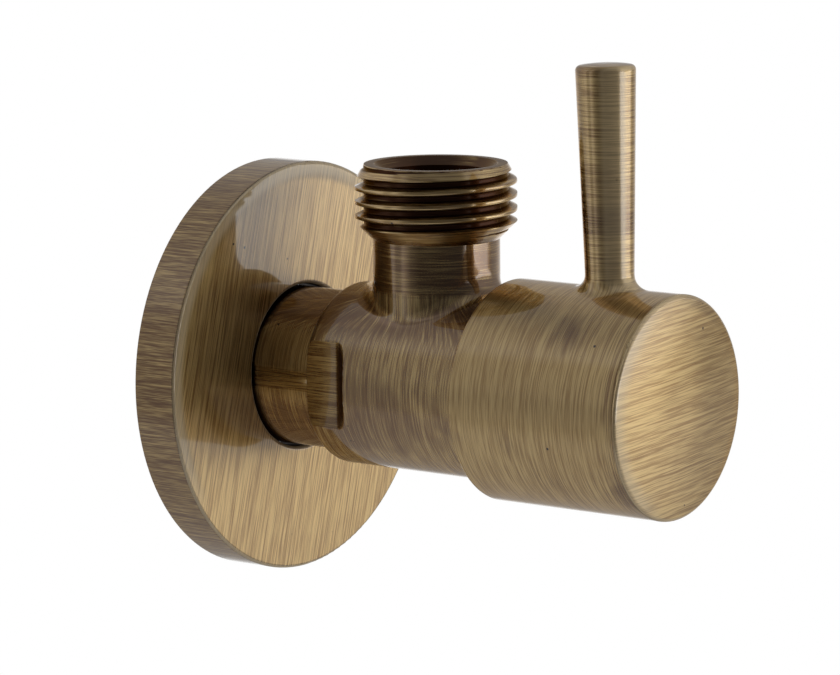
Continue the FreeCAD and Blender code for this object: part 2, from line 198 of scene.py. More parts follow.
def noise(tree, vector, scale, detail=2.0, roughness=0.5, distortion=0.0):
    values = {"Vector": vector, "Scale": scale, "Detail": detail, "Roughness": roughness,
              "Distortion": distortion}
    return addNode(tree, "TexNoise", values).outputs["Fac"]


def stretched(tree, vector, turn, stretch):
    # Turns the space by degrees, or by a socket's radians, then draws it out along its axes
    if not isinstance(turn, bpy.types.NodeSocket):
        turn = [math.radians(angle) for angle in turn]
    values = {"Vector": vector, "Rotation": turn, "Scale": stretch}
    return addNode(tree, "Mapping", values, vector_type="TEXTURE").outputs[0]


def mixValue(tree, factor, first, second, kind="FLOAT"):
    values = {"Factor": factor, "A": first, "B": second}
    return addNode(tree, "Mix", values, data_type=kind).outputs["Result"]


def mixVector(tree, factor, first, second):
    return mixValue(tree, factor, first, second, "VECTOR")


def mixColour(tree, factor, *colours):
    first, second = ((*item, 1.0) if isinstance(item, tuple) else item for item in colours)
    return mixValue(tree, factor, first, second, "RGBA")


def addUp(tree, value, *shares):
    # Adds to a value each item of (item, amount) times its amount
    for item, amount in shares:
        value = calc(tree, "MULTIPLY_ADD", item, amount, value)
    return value


def parted(tree, vector):
    return addNode(tree, "SeparateXYZ", {0: vector}).outputs


def coordinates(tree):
    return addNode(tree, "TexCoord", {}).outputs


def makeGroup(name, vectors, numbers, results):
    group = bpy.data.node_groups.new(name, "ShaderNodeTree")
    sockets = [(label, "INPUT", "Vector") for label in vectors]
    sockets += [(label, "INPUT", "Float") for label in numbers]
    sockets += [(label, "OUTPUT", "Float") for label in results]
    for label, way, kind in sockets:
        group.interface.new_socket(label, in_out=way, socket_type="NodeSocket" + kind)
    return group, group.nodes.new("NodeGroupInput").outputs, group.nodes.new("NodeGroupOutput").inputs


def place(tree, group, **values):
    return addNode(tree, "Group", values, node_tree=group).outputs


# Shared effects

effectValues = {
    # Brushing: how soon its bend changes, and coarser lines and streaks as shares of the fine lines' scale
    "wanderScale": 75.0, "coarseShare": 0.35, "coarseMix": 0.25, "streakShare": 0.14,
    # Patina: how far the brushing frays it, where it starts, how far cover lowers that, and its soft edge
    "fray": 0.9, "patinaStart": 0.80, "patinaReach": 0.6, "patinaEdge": 0.16,
    # Scratches: the same for hairlines, with each set's turn and stretch
    "scratchScale": 3600.0, "scratchStart": 0.80, "scratchReach": 0.08, "scratchEdge": 0.05,
    "scratchSets": (((15, 40, 75), (90, 1, 90)), ((70, 20, -35), (1, 90, 90)), ((-25, 65, 10), (90, 90, 1))),
    # Pits: their outline within a cell, and which cells have one
    "pitOutline": (0.09, 0.05), "pitShare": 0.37, "pitChosen": (0.62, 0.68),
}


def buildBrushing(values):
    # Fine lines and broader streaks along the drawn-out axes, a little bent
    group, given, out = makeGroup(
        "brushing", ["Vector", "Turn", "Stretch"], ["Fine", "Bend"], ["Lines", "Streaks"])
    wander = noise(group, given["Vector"], values["wanderScale"]).node.outputs["Color"]
    offset = vectorCalc(group, "SUBTRACT", wander, (0.5, 0.5, 0.5))
    bent = vectorCalc(group, "MULTIPLY_ADD", offset, given["Bend"], given["Vector"])
    grain = stretched(group, bent, given["Turn"], given["Stretch"])
    coarse = calc(group, "MULTIPLY", given["Fine"], values["coarseShare"])
    broad = calc(group, "MULTIPLY", given["Fine"], values["streakShare"])
    fineLines = noise(group, grain, given["Fine"], 2.0, 0.8)
    coarseLines = noise(group, grain, coarse, 2.0, 0.6)
    feed(group, out["Lines"], mixValue(group, values["coarseMix"], fineLines, coarseLines))
    feed(group, out["Streaks"], noise(group, grain, broad, 2.0, 0.55))
    return group


def buildPatina(values):
    # Soft dark clouds with edges that the brushing has frayed
    group, given, out = makeGroup("patina", ["Vector"], ["Scale", "Lines", "Cover"], ["Mask"])
    clouds = noise(group, given["Vector"], given["Scale"], 2.0, 0.5, 0.4)
    frayed = calc(group, "MULTIPLY_ADD", calc(group, "SUBTRACT", given["Lines"], 0.5), values["fray"], clouds)
    lowered = calc(group, "MULTIPLY", given["Cover"], values["patinaReach"])
    start = calc(group, "SUBTRACT", values["patinaStart"], lowered)
    feed(group, out["Mask"], spread(group, frayed, start, calc(group, "ADD", start, values["patinaEdge"])))
    return group


def buildScratches(values):
    # Sparse crossing hairlines
    group, given, out = makeGroup("scratches", ["Vector"], ["Density"], ["Mask"])
    lowered = calc(group, "MULTIPLY", given["Density"], values["scratchReach"])
    start = calc(group, "SUBTRACT", values["scratchStart"], lowered)
    end = calc(group, "ADD", start, values["scratchEdge"])
    found = 0.0
    for turn, stretch in values["scratchSets"]:
        drawnOut = stretched(group, given["Vector"], turn, stretch)
        lines = noise(group, drawnOut, values["scratchScale"], 1.0, 0.5)
        found = calc(group, "MAXIMUM", found, spread(group, lines, start, end))
    feed(group, out["Mask"], found)
    return group


def buildPits(values):
    # A few tiny dark specks
    group, given, out = makeGroup("pits", ["Vector"], ["Scale"], ["Mask"])
    cells = addNode(group, "TexVoronoi", {"Vector": given["Vector"], "Scale": given["Scale"]})
    chosen = noise(group, given["Vector"], calc(group, "MULTIPLY", given["Scale"], values["pitShare"]), 0.0)
    speck = spread(group, cells.outputs["Distance"], *values["pitOutline"])
    feed(group, out["Mask"], calc(group, "MULTIPLY", speck, spread(group, chosen, *values["pitChosen"])))
    return group


brushing = buildBrushing(effectValues)
patina = buildPatina(effectValues)
scratches = buildScratches(effectValues)
pits = buildPits(effectValues)
print("shared effects built")

# Aged brass: brushed brass shows through a brown oxide, under clear lacquer

brassColours = {
    "light": (0.81, 0.58, 0.25),
    "deep": (0.45, 0.27, 0.092),
    "oxide": (0.190, 0.090, 0.034),
    "slant": (0.80, 0.62, 0.42),  # seen at a low angle
    "edge": (0.92, 0.76, 0.50),  # where the finish is worn off, and painted highlight along edges
    # recess is dark oxide and painted shade in hollows, inside the bores and between parts
    "recess": (0.062, 0.022, 0.009),
    "speck": (0.040, 0.020, 0.010),
}
lacquer = {"weight": 1.0, "roughness": 0.04, "ior": 1.85, "thinInRecess": 0.93}
wearAndPaintedLightLook = {
    "lineTones": (0.40, 0.60),  # lines between these go from deep to light brass
    # Where edges are worn pale with a painted highlight they turn less metallic and rougher
    "rubbedAndHighlitMetallic": 0.2, "rubbedAndHighlitRough": 0.55, "recessRough": 0.15, "pitDepth": 2.0, "scratchDepth": 0.4,
    "lostAcross": (0.25, 0.10),  # sine at which a direction across the brushing loses its meaning
}


def startMaterial(name):
    material = bpy.data.materials.new(name)
    material.use_nodes = True
    tree = material.node_tree
    return material, tree, tree.nodes["Principled BSDF"]


def addBump(tree, shader, height, strength, depth, under=None):
    values = {"Strength": strength, "Distance": depth * mm, "Height": height}
    if under:
        values["Normal"] = under
    bump = addNode(tree, "Bump", values).outputs[0]
    feed(tree, shader.inputs["Normal"], bump)
    return bump


def layZones(tree, surface, zones, values):
    # Each zone has its own brushing direction, the direction across it, and how far it is worn to the brass
    laid = None
    for zone in zones:
        space = zone["space"](tree, surface) if "space" in zone else surface["place"]
        brushed = place(tree, brushing, Vector=space, Turn=[math.radians(angle) for angle in zone["turn"]],
                        Stretch=zone["stretch"], Fine=values["fine"], Bend=values["bend"] * mm)
        direction = zone["across"](tree, surface) if callable(zone["across"]) else zone["across"]
        added = (brushed["Lines"], brushed["Streaks"], zone["wear"], direction)
        if laid:
            mask = zone["mask"](tree, surface)
            mixers = (mixValue, mixValue, mixValue, mixVector)
            added = [mixer(tree, mask, old, new) for mixer, old, new in zip(mixers, laid, added)]
        laid = added
    lines, streaks, wear, across = laid
    # Where that direction points along the normal it has no meaning, so those ends take a fixed one
    sine = vectorCalc(tree, "LENGTH", vectorCalc(tree, "CROSS_PRODUCT", surface["facing"], across))
    across = mixVector(tree, spread(tree, sine, *wearAndPaintedLightLook["lostAcross"]), across, (1.0, 0.0, 0.0))
    return lines, streaks, wear, across


def agedBrass(name, zones, values, wearAndPaintedLightMaps=(), hidden=None, edges=None, rollOff=None):
    # The maps add wear and also painted highlight and painted shade, hidden is painted shade like a recess,
    # edges are worn pale with a painted highlight, and rollOff is a height
    material, tree, shader = startMaterial(name)
    coords = coordinates(tree)
    surface = {"place": coords["Object"], "facing": coords["Normal"],
               "spot": parted(tree, coords["Object"]), "normal": parted(tree, coords["Normal"])}
    lines, streaks, wear, across = layZones(tree, surface, zones, values)
    # Recesses take dark oxide and painted shade
    recess = addNode(tree, "Attribute", {}, attribute_name="recess").outputs["Fac"]
    if hidden:
        recess = calc(tree, "MAXIMUM", recess, hidden(tree, surface))
    dark = place(tree, patina, Vector=surface["place"], Scale=values["cloudScale"],
                 Lines=mixValue(tree, 0.5, lines, streaks), Cover=values["cover"])["Mask"]
    scratch = place(tree, scratches, Vector=surface["place"], Density=values["scratchDensity"])["Mask"]
    speck = place(tree, pits, Vector=surface["place"], Scale=values["pitScale"])["Mask"]

    # How bare the brass is: 0 is all oxide, 1 is all brass. Painted highlight and painted shade from the maps
    # and recesses go into it too
    wear = addUp(tree, wear, *((wearAndPaintedLightMap(tree, surface), amount) for wearAndPaintedLightMap, amount in wearAndPaintedLightMaps))
    lineTone, streakTone = (calc(tree, "SUBTRACT", item, 0.5) for item in (lines, streaks))
    bare = addUp(tree, wear, (lineTone, values["lineGain"]), (streakTone, values["streakGain"]),
                 (dark, -values["darkness"]), (scratch, values["scratchTone"]), (recess, -1.0))
    bare = spread(tree, bare, 0.0, 1.0)

    tone = spread(tree, lines, *wearAndPaintedLightLook["lineTones"])
    brass = mixColour(tree, tone, brassColours["deep"], brassColours["light"])
    oxide = mixColour(tree, recess, brassColours["oxide"], brassColours["recess"])
    colour = mixColour(tree, bare, oxide, brass)
    # Edges worn pale, partly a painted highlight
    rubbedAndHighlit = calc(tree, "MULTIPLY", edges(tree, surface), values["edgeRubAndHighlight"]) if edges else 0.0
    colour = mixColour(tree, rubbedAndHighlit, colour, brassColours["edge"])

    rough = addUp(tree, values["roughOxide"], (bare, values["roughBare"] - values["roughOxide"]),
                  (lineTone, values["roughLines"]))
    rough = mixValue(tree, rubbedAndHighlit, rough, wearAndPaintedLightLook["rubbedAndHighlitRough"])
    feedAll(tree, shader, {
        "Base Color": mixColour(tree, speck, colour, brassColours["speck"]),
        "Metallic": addUp(tree, 1.0, (rubbedAndHighlit, wearAndPaintedLightLook["rubbedAndHighlitMetallic"] - 1.0)),
        "Specular Tint": (*brassColours["slant"], 1.0),
        "Roughness": addUp(tree, rough, (recess, wearAndPaintedLightLook["recessRough"])),
        "Anisotropic": values["grain"],
        "Tangent": across,
        "Coat Weight": addUp(tree, lacquer["weight"], (recess, -lacquer["thinInRecess"])),
        "Coat Roughness": lacquer["roughness"],
        "Coat IOR": lacquer["ior"],
    })

    roll = addBump(tree, shader, rollOff(tree, surface), 1.0, values["rollDepth"]) if rollOff else None
    height = addUp(tree, lines, (scratch, -wearAndPaintedLightLook["scratchDepth"]), (speck, -wearAndPaintedLightLook["pitDepth"]))
    addBump(tree, shader, height, values["bump"], values["bumpDepth"], roll)
    return material


# Masks for the aged brass: each maker returns a function of the tree and the surface


def along(axis, low, high):
    # Rises from 0 to 1 along an axis of the object's own coordinates, in mm
    return lambda tree, surface: spread(tree, surface["spot"][axis], low * mm, high * mm)


def facing(axis, low, high):
    # Rises from 0 to 1 with one part of the surface's direction
    return lambda tree, surface: spread(tree, surface["normal"][axis], low, high)


def reach(low, high):
    # Rises from 0 to 1 with the distance from the inlet axis, in mm
    def made(tree, surface):
        x, y, z = surface["spot"]
        square = calc(tree, "ADD", calc(tree, "MULTIPLY", x, x), calc(tree, "MULTIPLY", z, z))
        return spread(tree, calc(tree, "SQRT", square), low * mm, high * mm)
    return made


def joined(operation, *makers):
    def made(tree, surface):
        value = makers[0](tree, surface)
        for maker in makers[1:]:
            value = calc(tree, operation, value, maker(tree, surface))
        return value
    return made


def product(*makers):
    return joined("MULTIPLY", *makers)


def strongest(*makers):
    return joined("MAXIMUM", *makers)


def sunk(*makers):
    # A height that falls from 0 to -1 where the masks rise
    return lambda tree, surface: calc(tree, "MULTIPLY", product(*makers)(tree, surface), -1.0)


def aroundAxis(tree, surface):
    # Direction round the inlet axis
    return vectorCalc(tree, "CROSS_PRODUCT", surface["facing"], (0.0, 1.0, 0.0))


roundInlet = {"turn": (0, 0, 0), "stretch": (45, 1, 45), "across": (0.0, 1.0, 0.0)}
roundUpright = {"turn": (0, 0, 0), "stretch": (45, 45, 1), "across": (0.0, 0.0, 1.0)}
frontFace = facing(1, -0.3, -0.6)  # with its rounded edge
frontZone = facing(1, -0.55, -0.9)  # its flat part, softly
roundSide = facing(1, -0.8, -0.4)  # all but the front face
roundedEdge = product(facing(1, -0.985, -0.93), facing(1, -0.25, -0.50))

# Body

# Places along the inlet axis are distances out from the wall, those along the outlet's axis heights above it
bodySizes = {
    "tailEnd": -11.0, "tailThreadEnd": 1.5, "tailChamfer": 1.2, "reliefLength": 1.6, "reliefRadius": 9.1775,
    "neckRadius": 10.45, "shoulder": 15.0, "shoulderRound": 1.2, "barrelRadius": 11.95, "barrelEnd": 42.3,
    "endChamfer": 0.4, "flatHalf": 10.5, "flatEnd": 19.75, "stepRound": 2.2, "edgeSoftness": 0.10,
    "outletOut": 28.2, "branchRadius": 8.23, "fillet": 3.0, "outletTop": 28.3, "coneStart": 18.6225,
    "lipRadius": 9.2575, "leadAngle": 30.0, "lipHeight": 0.08, "outletBore": 6.9, "boreChamfer": 1.1,
    "boreBottom": 11.0, "portRadius": 5.5, "portConeEnd": 9.6,
    "seat": 17.4, "chamberRadius": 8.80, "chamberEnd": 36.3, "threadBore": 8.381, "gasketSeat": 40.63,
    "gasketSeatRadius": 10.001, "inletBore": 6.75, "seatPort": 4.90, "seatBack": 13.4, "coneEnd": 11.55,
    "mouthChamfer": 0.3,
}
# The mesh's columns run round the inlet axis. The branch and its port grow out of windows in them
bodyLayout = {
    "windowColumns": 60, "windowStart": 16.4, "windowEnd": 41.5, "windowHalfAngle": 56.25,
    "flatEdge": (60.4, 62.6),  # degrees from the top between which a spanner flat begins
    "stepRows": (19.6, 22.0),  # closer rows where the flats run out
    "portWindowHalf": 7.4, "portWindowHalfAngle": 45.0,
    "barrelRows": (5, 22, 21),  # before, across and after the step
    "branchSteps": (7, 10, 8),  # to the fillet, over it, and up to the thread
}
# How dark each hollow of the body is painted: grime and painted shade
bodyDirtAndShade = {"flats": 0.8, "chamfer": 0.7, "chamber": 0.75, "tailMouth": 0.2}
threadShape = {
    "outer": 10.4775, "inner": 9.3155, "pitch": 1.814, "crest": 0.44, "flank": 0.42, "corner": 0.07,
    "outletCrestHeight": 25.67, "outletCrestTurn": -143.19, "tailCrest": -9.0, "tailRunOut": 1.2,
    # How the thread's root darkens with grime and painted shade
    "dirtAndShadeGain": 1.6, "dirtAndShadeStart": 0.35, "plainGap": 0.02,
}


def threadOffsets(shape):
    # Heights within one pitch at which the profile is sampled, closer together at its corners
    half, flank, corner = shape["crest"] / 2, shape["flank"], shape["corner"]
    inner = half + flank
    side = [0, half - corner, half, half + corner, half + flank * 0.5, inner - corner, inner, inner + corner]
    root = (inner + corner + shape["pitch"] / 2) / 2
    positive = side + [root]
    return sorted([-value for value in positive[1:]] + positive + [shape["pitch"] / 2])


def threadRadius(offset, shape):
    # Radius at a height offset from a crest's middle
    away = np.abs((offset + shape["pitch"] / 2) % shape["pitch"] - shape["pitch"] / 2)
    slope = (shape["outer"] - shape["inner"]) / shape["flank"]
    falling = shape["outer"] - (away - shape["crest"] / 2) * slope
    top = softMin(falling, np.full_like(falling, shape["outer"]), shape["corner"] * 2)
    return -softMin(-top, np.full_like(top, -shape["inner"]), shape["corner"] * 2)


def threadSkin(skin, spots, shape, low, high, crest, direction, limits, point):
    # A helical grid between two heights. spots are the columns' places in parts of a turn, limits the cones
    # that cut it back, and point(column, radius, height) places a vertex. Returns its lower and upper loop
    offsets = threadOffsets(shape)
    pitch = shape["pitch"]
    first = math.floor((low - crest) / pitch) - 2
    last = math.ceil((high - crest) / pitch) + 2
    crests = [crest + turn * pitch for turn in range(first, last + 1)]
    heights = np.array([middle + offset for middle in crests for offset in offsets])
    full = threadRadius(heights - crest, shape)
    grid = []
    for column, spot in enumerate(spots):
        clipped = np.clip(heights + direction * pitch * spot, low, high)
        radius = full
        for limit in limits:
            radius = np.minimum(radius, limit(clipped))
        # Grime and painted shade lie at the thread's root, not on the cones that cut it back
        depth = np.clip((shape["outer"] - radius) / (shape["outer"] - shape["inner"]), 0, 1)
        dirtAndShade = np.clip(depth * shape["dirtAndShadeGain"] - shape["dirtAndShadeStart"], 0, 1)
        dirtAndShade = np.where(full - radius > shape["plainGap"], 0.0, dirtAndShade)
        grid.append(addRing(skin, [point(column, r, h) for r, h in zip(radius, clipped)], dirtAndShade))
    rows, columns, step = len(heights), len(spots), direction * len(offsets)
    for column in range(columns):
        following = (column + 1) % columns
        shift = step if following == 0 else 0
        for row in range(rows - 1):
            other = row + shift
            if 0 <= other < rows - 1:
                here, there = grid[column], grid[following]
                corners = [here[row], there[other], there[other + 1], here[row + 1]]
                places = [skin["points"][corner] for corner in corners]
                if len({tuple(np.round(place, 6)) for place in places}) > 2:
                    skin["faces"].append(tuple(corners))
    return [column[0] for column in grid], [column[-1] for column in grid]


def columnAngles(layout):
    # Round the inlet axis from the top, closer together at the edges of the spanner flats
    half = layout["windowHalfAngle"]
    start, end = layout["flatEdge"]
    stretches = ((half, start, 4), (start, end, 8), (end, 180 - end, 50), (180 - end, 180 - start, 8),
                 (180 - start, 180 - half, 4))
    side = np.concatenate([np.linspace(low, high, number, endpoint=False) for low, high, number in stretches])
    window = np.linspace(-half, half, layout["windowColumns"], endpoint=False)
    under = np.linspace(180 - half, 180 + half, 50, endpoint=False)
    otherSide = 360 - np.append(side, 180 - half)[::-1]
    return np.radians(np.concatenate([window, side, under, otherSide[:-1]]))


def inletPoint(radius, angle, out):
    return (radius * math.sin(angle), -out, radius * math.cos(angle))


def turnedRing(skin, angles, radius, out, recess=0.0):
    # A ring round the inlet axis; its radius may change from column to column
    radii = np.broadcast_to(np.asarray(radius, float), angles.shape)
    return addRing(skin, [inletPoint(r, angle, out) for r, angle in zip(radii, angles)], recess)


def flatRadius(radius, out, angles, s):
    # The spanner flats take the sides off, up to a hollow round step
    run = min(max(0.0, out - s["flatEnd"]), s["stepRound"])
    limit = s["flatHalf"] + s["stepRound"] - math.sqrt(s["stepRound"] ** 2 - run ** 2)
    slant = np.maximum(np.abs(np.sin(angles)), 0.05)
    return softMin(np.full_like(slant, radius), limit / slant, s["edgeSoftness"])


def closeGrid(skin, grid, windowColumns):
    # Faces of a grid of rings, all but those of its window
    count = len(grid[0])
    for lower, upper in zip(grid, grid[1:]):
        for column in range(windowColumns, count):
            following = (column + 1) % count
            skin["faces"].append((lower[column], lower[following], upper[following], upper[column]))


def windowLoop(grid, columnCount):
    # Numbers round the window of a grid of rings, in order
    lastRow = len(grid) - 1
    loop = [grid[0][column] for column in range(columnCount + 1)]
    loop += [grid[row][columnCount] for row in range(1, lastRow + 1)]
    loop += [grid[lastRow][column] for column in range(columnCount - 1, -1, -1)]
    loop += [grid[row][0] for row in range(lastRow - 1, 0, -1)]
    return loop


def addNeck(skin, s, layout, angles):
    # Outside, from the tail's relief groove to the window's first row
    relief = s["tailThreadEnd"]
    neckStart = relief + s["reliefLength"]
    neckEnd = s["shoulder"] - 0.15
    neck = roundedLine([
        (s["reliefRadius"], relief, 0), (s["reliefRadius"], neckStart, 0.15),
        (s["neckRadius"], neckStart, 0.25), (s["neckRadius"], 6.0, 0), (s["neckRadius"], 9.0, 0),
        (s["neckRadius"], 12.0, 0), (s["neckRadius"], neckEnd, 0),
    ])
    shoulder = roundedLine([
        (s["neckRadius"], neckEnd, 0), (s["neckRadius"], s["shoulder"], 0.12),
        (s["barrelRadius"], s["shoulder"], s["shoulderRound"]), (s["barrelRadius"], layout["windowStart"], 0),
    ], steps=9)
    loops = [turnedRing(skin, angles, radius, out) for radius, out in neck]
    for radius, out in shoulder[1:-1]:
        loops.append(turnedRing(skin, angles, flatRadius(radius, out, angles, s), out))
    bridgeAll(skin, loops)
    return loops[0], loops[-1]


def addBarrel(skin, s, layout, angles):
    start, end = layout["stepRows"]
    before, across, after = layout["barrelRows"]
    rows = np.concatenate([
        np.linspace(layout["windowStart"], start, before, endpoint=False),
        np.linspace(start, end, across, endpoint=False), np.linspace(end, layout["windowEnd"], after),
    ])
    grid = []
    for out in rows:
        radius = flatRadius(s["barrelRadius"], out, angles, s)
        # Painted shade, with some grime, lies in the hollow step where the flats run out, 1 mm or so behind
        # their end
        inStep = np.clip(1.4 - abs(out - s["flatEnd"] - 1.0) / 0.9, 0, 1)
        dirtAndShade = inStep * np.clip((s["barrelRadius"] - radius) / 0.5, 0, 1) * bodyDirtAndShade["flats"]
        grid.append(turnedRing(skin, angles, radius, out, dirtAndShade))
    closeGrid(skin, grid, layout["windowColumns"])
    return grid


def outletPoint(s, radius, turn, height):
    return (radius * math.cos(turn), -(s["outletOut"] + radius * math.sin(turn)), height)


def addBranch(skin, s, layout, rim):
    # From the window's rim over the fillet up to the thread. The fillet is the path of a ball that
    # touches the barrel and the branch. Returns the last loop and each column's angle round the branch
    ballReach = s["branchRadius"] + s["fillet"]
    ballHeight = s["barrelRadius"] + s["fillet"]
    turns, patchStart, patchEnd = [], [], []
    for number in rim:
        x, y, z = skin["points"][number]
        u, v = math.atan2(x, z) * s["barrelRadius"], -y - s["outletOut"]
        turn = math.atan2(v, u)
        turns.append(turn)
        patchStart.append((u, v))
        edge = math.asin(ballReach * math.cos(turn) / ballHeight)
        patchEnd.append((s["barrelRadius"] * edge, ballReach * math.sin(turn)))
    turns = np.unwrap(np.array(turns))
    patchSteps, filletSteps, riseSteps = layout["branchSteps"]
    loops = [rim]
    for step in range(1, patchSteps):
        t = step / patchSteps
        points = []
        for (startU, startV), (endU, endV) in zip(patchStart, patchEnd):
            angle = (startU * (1 - t) + endU * t) / s["barrelRadius"]
            points.append(inletPoint(s["barrelRadius"], angle, s["outletOut"] + startV * (1 - t) + endV * t))
        loops.append(addRing(skin, points))
    ballTops = [math.sqrt(ballHeight ** 2 - (ballReach * math.cos(turn)) ** 2) for turn in turns]
    for step in range(filletSteps + 1):
        t = step / filletSteps
        points = []
        for turn, top in zip(turns, ballTops):
            centre = np.array(outletPoint(s, ballReach, turn, top))
            toBarrel = np.array([-centre[0], 0, -centre[2]]) / ballHeight
            toBranch = np.array([-math.cos(turn), math.sin(turn), 0.0])
            opening = math.acos(float(toBarrel @ toBranch))
            mixed = toBarrel * math.sin((1 - t) * opening) + toBranch * math.sin(t * opening)
            points.append(tuple(centre + mixed / math.sin(opening) * s["fillet"]))
        loops.append(addRing(skin, points))
    for step in range(1, riseSteps):
        t = step / riseSteps
        loops.append(addRing(skin, [
            outletPoint(s, s["branchRadius"], turn, top * (1 - t) + s["coneStart"] * t)
            for turn, top in zip(turns, ballTops)]))
    bridgeAll(skin, loops)
    return loops[-1], turns


def addOutlet(skin, s, shape, below, turns):
    # Thread between its two cones, then the lip, the bore and the port down to the chamber
    direction = -1 if turns[-1] > turns[0] else 1
    spots = np.abs((turns - turns[0]) / (2 * math.pi))
    startTurn = math.degrees(-turns[0])
    crest = shape["outletCrestHeight"] + shape["pitch"] * (startTurn - shape["outletCrestTurn"]) / 360
    slope = math.tan(math.radians(s["leadAngle"]))
    lipFoot = s["outletTop"] - s["lipHeight"]
    low, high = threadSkin(
        skin, spots, shape, s["coneStart"], lipFoot, crest, direction,
        [lambda z: s["branchRadius"] + (z - s["coneStart"]),
         lambda z: s["lipRadius"] + (s["outletTop"] - z) * slope],
        lambda column, radius, height: outletPoint(s, radius, turns[column], height),
    )
    bridge(skin, below, low)
    chamferFoot = s["outletTop"] - s["boreChamfer"]
    mouth = roundedLine([
        (s["lipRadius"] + s["lipHeight"] * slope, lipFoot, 0), (s["lipRadius"], s["outletTop"], 0.06),
        (s["outletBore"] + s["boreChamfer"], s["outletTop"], 0.1), (s["outletBore"], chamferFoot, 0.1),
        (s["outletBore"], 20.0, 0), (s["outletBore"], s["boreBottom"], 0),
        (s["portRadius"], s["portConeEnd"], 0),
    ])
    inside = [high]
    for radius, height in mouth[1:]:
        onLip = radius > s["lipRadius"] - 0.03
        # The chamfer and the bore inside are painted dark: grime and painted shade
        dirtAndShade = 0.0 if onLip else bodyDirtAndShade["chamfer"] if height > chamferFoot else 1.0
        inside.append(addRing(skin, [outletPoint(s, radius, turn, height) for turn in turns], dirtAndShade))
    portFoot = []
    for turn in turns:
        foot = math.sqrt(s["chamberRadius"] ** 2 - (s["portRadius"] * math.cos(turn)) ** 2)
        portFoot.append(outletPoint(s, s["portRadius"], turn, foot))
    # Painted shade at the port's foot
    inside.append(addRing(skin, portFoot, 1.0))
    bridgeAll(skin, inside)
    return inside[-1]


def addChamber(skin, s, layout, rowCount, columnCount):
    # The chamber, with its own window round the port
    half, columns = math.radians(layout["portWindowHalfAngle"]), layout["windowColumns"]
    angles = np.concatenate([
        np.linspace(-half, half, columns, endpoint=False),
        np.linspace(half, 2 * math.pi - half, columnCount - columns, endpoint=False),
    ])
    reachOut = layout["portWindowHalf"]
    rows = np.linspace(s["outletOut"] - reachOut, s["outletOut"] + reachOut, rowCount)
    # The chamber's inside is painted dark: grime and painted shade
    grid = [turnedRing(skin, angles, s["chamberRadius"], out, bodyDirtAndShade["chamber"]) for out in rows]
    closeGrid(skin, grid, columns)
    return grid


def addFront(skin, s, layout, angles, first, last):
    # The barrel's end and the bore for the headwork's thread
    chamfer = s["endChamfer"]
    front = roundedLine([
        (s["barrelRadius"], layout["windowEnd"], 0), (s["barrelRadius"], s["barrelEnd"] - chamfer, 0.12),
        (s["barrelRadius"] - chamfer, s["barrelEnd"], 0.12), (s["gasketSeatRadius"], s["barrelEnd"], 0),
        (s["gasketSeatRadius"], s["gasketSeat"], 0), (s["threadBore"], s["gasketSeat"], 0),
        (s["threadBore"], s["chamberEnd"], 0), (s["chamberRadius"], s["chamberEnd"], 0),
    ])
    rings = [turnedRing(skin, angles, radius, out) for radius, out in front[1:]]
    bridgeAll(skin, [first, *rings, last])


def addBore(skin, s, angles, chamber):
    # The seat and the inlet bore, painted dark inside: grime and painted shade
    line = [(s["chamberRadius"], s["seat"]), (s["seatPort"], s["seat"]), (s["seatPort"], s["seatBack"]),
            (s["inletBore"], s["coneEnd"]), (s["inletBore"], s["tailEnd"] + s["mouthChamfer"])]
    rings = [turnedRing(skin, angles, radius, out, bodyDirtAndShade["chamber"]) for radius, out in line]
    bridgeAll(skin, [chamber, *rings])
    return rings[-1]


def addTail(skin, s, shape, angles, foot, bore):
    # The tail's thread, on every other column of the body, and its mouth
    spots = (angles - angles[0]) / (2 * math.pi)
    chamferRadius = shape["outer"] - s["tailChamfer"]
    low, high = threadSkin(
        skin, spots, shape, s["tailEnd"], s["tailThreadEnd"], shape["tailCrest"], -1,
        [lambda out: chamferRadius + (out - s["tailEnd"]),
         lambda out: s["reliefRadius"] + (s["tailThreadEnd"] - out) * shape["tailRunOut"]],
        lambda column, radius, out: inletPoint(radius, angles[column], out),
    )
    bridge(skin, foot, high)
    # The tail's mouth is painted a little dark: grime and painted shade
    mouth = turnedRing(skin, angles, s["inletBore"] + s["mouthChamfer"], s["tailEnd"], bodyDirtAndShade["tailMouth"])
    bridge(skin, low, mouth)
    bridge(skin, bore, mouth)


def buildBody(s, layout, shape, material):
    skin = newSkin()
    angles = columnAngles(layout)
    foot, shoulder = addNeck(skin, s, layout, angles)
    barrel = addBarrel(skin, s, layout, angles)
    bridge(skin, shoulder, barrel[0])
    branchTop, turns = addBranch(skin, s, layout, windowLoop(barrel, layout["windowColumns"]))
    port = addOutlet(skin, s, shape, branchTop, turns)
    chamber = addChamber(skin, s, layout, len(barrel), len(angles))
    bridge(skin, windowLoop(chamber, layout["windowColumns"]), port)
    addFront(skin, s, layout, angles, barrel[-1], chamber[-1])
    bore = addBore(skin, s, angles, chamber[0])
    addTail(skin, s, shape, angles[::2], foot, bore)
    return finishSkin(skin, "valve_forging", "valve", material, "body")


def outletSpace(tree, surface):
    # Angle round the outlet's axis, distance from it, and height
    x, y, z = surface["spot"]
    away = calc(tree, "ADD", y, bodySizes["outletOut"] * mm)
    angle = calc(tree, "MULTIPLY", calc(tree, "ARCTAN2", x, away), bodyLook["turnRadius"] * mm)
    square = calc(tree, "ADD", calc(tree, "MULTIPLY", x, x), calc(tree, "MULTIPLY", away, away))
    return addNode(tree, "CombineXYZ", {0: angle, 1: calc(tree, "SQRT", square), 2: z}).outputs[0]


def aroundOutlet(tree, surface):
    away = vectorCalc(tree, "ADD", surface["place"], (0, bodySizes["outletOut"] * mm, 0))
    return vectorCalc(tree, "CROSS_PRODUCT", away, (0.0, 0.0, 1.0))


def lookingSideways(tree, surface):
    # The flat spanner faces, which look straight to a side
    return spread(tree, calc(tree, "ABSOLUTE", surface["normal"][0]), 0.985, 0.998)


